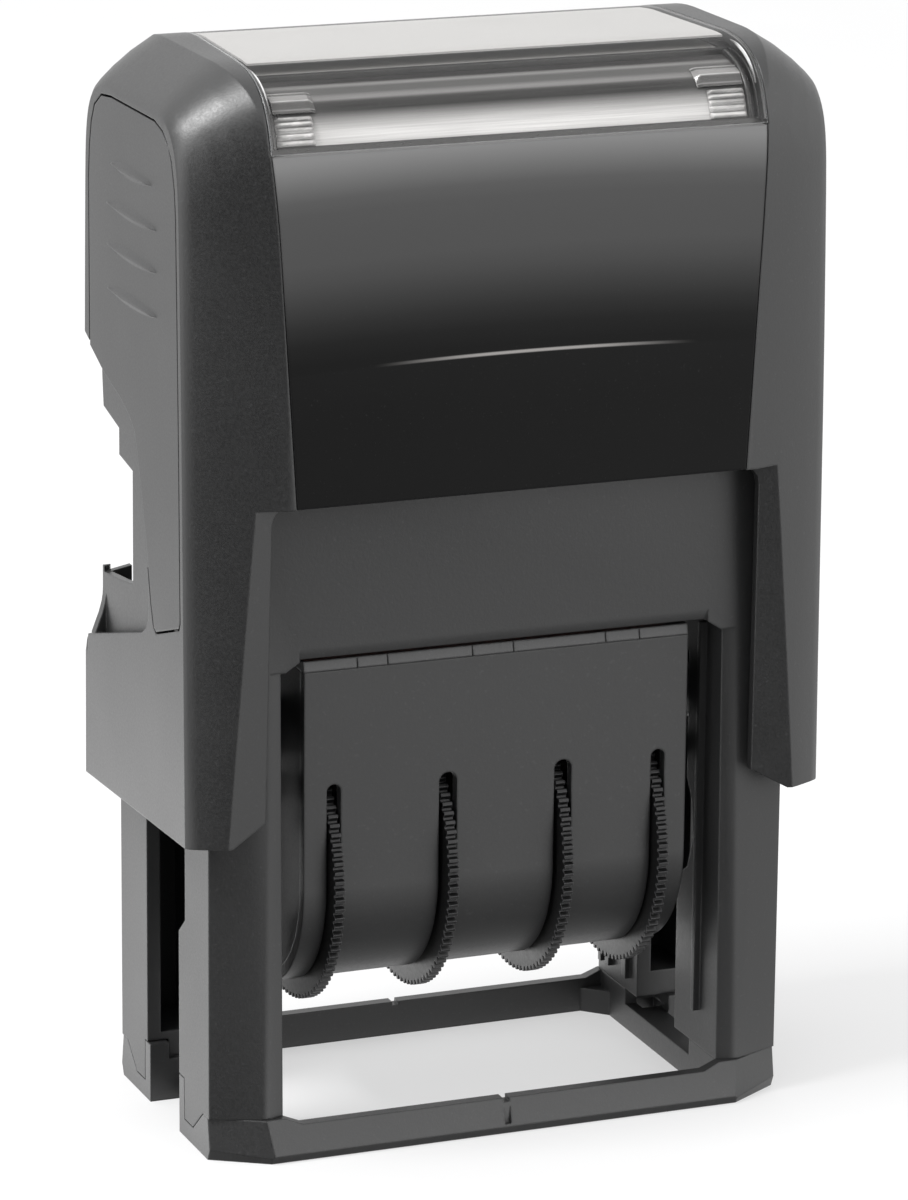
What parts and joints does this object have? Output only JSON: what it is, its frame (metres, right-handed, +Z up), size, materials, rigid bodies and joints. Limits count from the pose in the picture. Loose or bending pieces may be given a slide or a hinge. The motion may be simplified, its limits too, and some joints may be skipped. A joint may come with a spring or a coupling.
{
  "type": "self-inking rotary date stamp",
  "caption": "Self-inking date stamp: a sliding cap turns a banded dater from its ink pad down to the paper, with toothed setting wheels.",
  "frame": {"origin": "centre of the foot frame's footprint, on the paper plane", "axes": "+Z up through the cap, the front panel faces -Y, +X runs along the flip axis and the setting wheel axle"},
  "size_m": [0.0578, 0.032, 0.0924],
  "materials": {
    "housing_plastic": "fine matt texture, charcoal",
    "foot_plastic": "fine matt texture, charcoal",
    "cap_plastic": "fine matt texture, charcoal",
    "dater_plastic": "satin black",
    "wheel_plastic": "satin black",
    "gloss_black": "high gloss black",
    "clear_plastic": "clear moulded plastic",
    "card": "pale card",
    "ink_felt": "ink-soaked felt",
    "die_rubber": "engraved red-brown rubber",
    "band_rubber": "dark moulded rubber",
    "spring_steel": "bright spring wire",
    "axle_steel": "ground steel"
  },
  "bodies": {
    "frame": {"inner_housing": "housing_plastic", "foot_frame": "foot_plastic", "spring_left": "spring_steel", "spring_right": "spring_steel"},
    "cap": {"cap_shell": "cap_plastic", "front_panel": "gloss_black", "index_card": "card"},
    "window": {"index_window": "clear_plastic"},
    "button_left": {"lock_button_left": "cap_plastic"},
    "button_right": {"lock_button_right": "cap_plastic"},
    "pad": {"ink_pad_tray": "dater_plastic", "ink_pad_felt": "ink_felt"},
    "dater": {"dater_chassis": "dater_plastic", "dater_cover": "dater_plastic", "print_bar": "dater_plastic", "print_plate": "dater_plastic", "text_die": "die_rubber", "pivot_pin_left": "axle_steel", "pivot_pin_right": "axle_steel", "wheel_axle": "axle_steel", "band_1": "band_rubber", "band_2": "band_rubber", "band_3": "band_rubber", "band_4": "band_rubber"},
    "setting_wheel_1": {"wheel_1": "wheel_plastic"},
    "setting_wheel_2": {"wheel_2": "wheel_plastic"},
    "setting_wheel_3": {"wheel_3": "wheel_plastic"},
    "setting_wheel_4": {"wheel_4": "wheel_plastic"}
  },
  "joints": [
    {"name": "cap_press", "type": "slide", "parent": "frame", "child": "cap", "axis": [0, 0, -1], "range_m": [0, 0.0235], "deforming": ["spring_left", "spring_right"]},
    {"name": "dater_flip", "type": "hinge", "parent": "cap", "child": "dater", "pos_m": [0, 0, 0.034], "axis": [-1, 0, 0], "range_deg": [0, 180]},
    {"name": "pad_slide", "type": "slide", "parent": "frame", "child": "pad", "axis": [0, 1, 0], "range_m": [0, 0.03]},
    {"name": "window_lift", "type": "slide", "parent": "cap", "child": "window", "axis": [0, 0, 1], "range_m": [0, 0.012]},
    {"name": "lock_press_left", "type": "slide", "parent": "cap", "child": "button_left", "axis": [1, 0, 0], "range_m": [0, 0.0008]},
    {"name": "lock_press_right", "type": "slide", "parent": "cap", "child": "button_right", "axis": [-1, 0, 0], "range_m": [0, 0.0008]},
    {"name": "wheel_turn_1", "type": "hinge", "parent": "dater", "child": "setting_wheel_1", "pos_m": [-0.01469, 0, 0.0224], "axis": [1, 0, 0], "continuous": true},
    {"name": "wheel_turn_2", "type": "hinge", "parent": "dater", "child": "setting_wheel_2", "pos_m": [-0.00444, 0, 0.0224], "axis": [1, 0, 0], "continuous": true},
    {"name": "wheel_turn_3", "type": "hinge", "parent": "dater", "child": "setting_wheel_3", "pos_m": [0.00601, 0, 0.0224], "axis": [1, 0, 0], "continuous": true},
    {"name": "wheel_turn_4", "type": "hinge", "parent": "dater", "child": "setting_wheel_4", "pos_m": [0.01475, 0, 0.0224], "axis": [1, 0, 0], "continuous": true}
  ],
  "couplings": [
    {"joint": "dater_flip", "follows": "cap_press", "rad_per_m": 133.68}
  ]
}
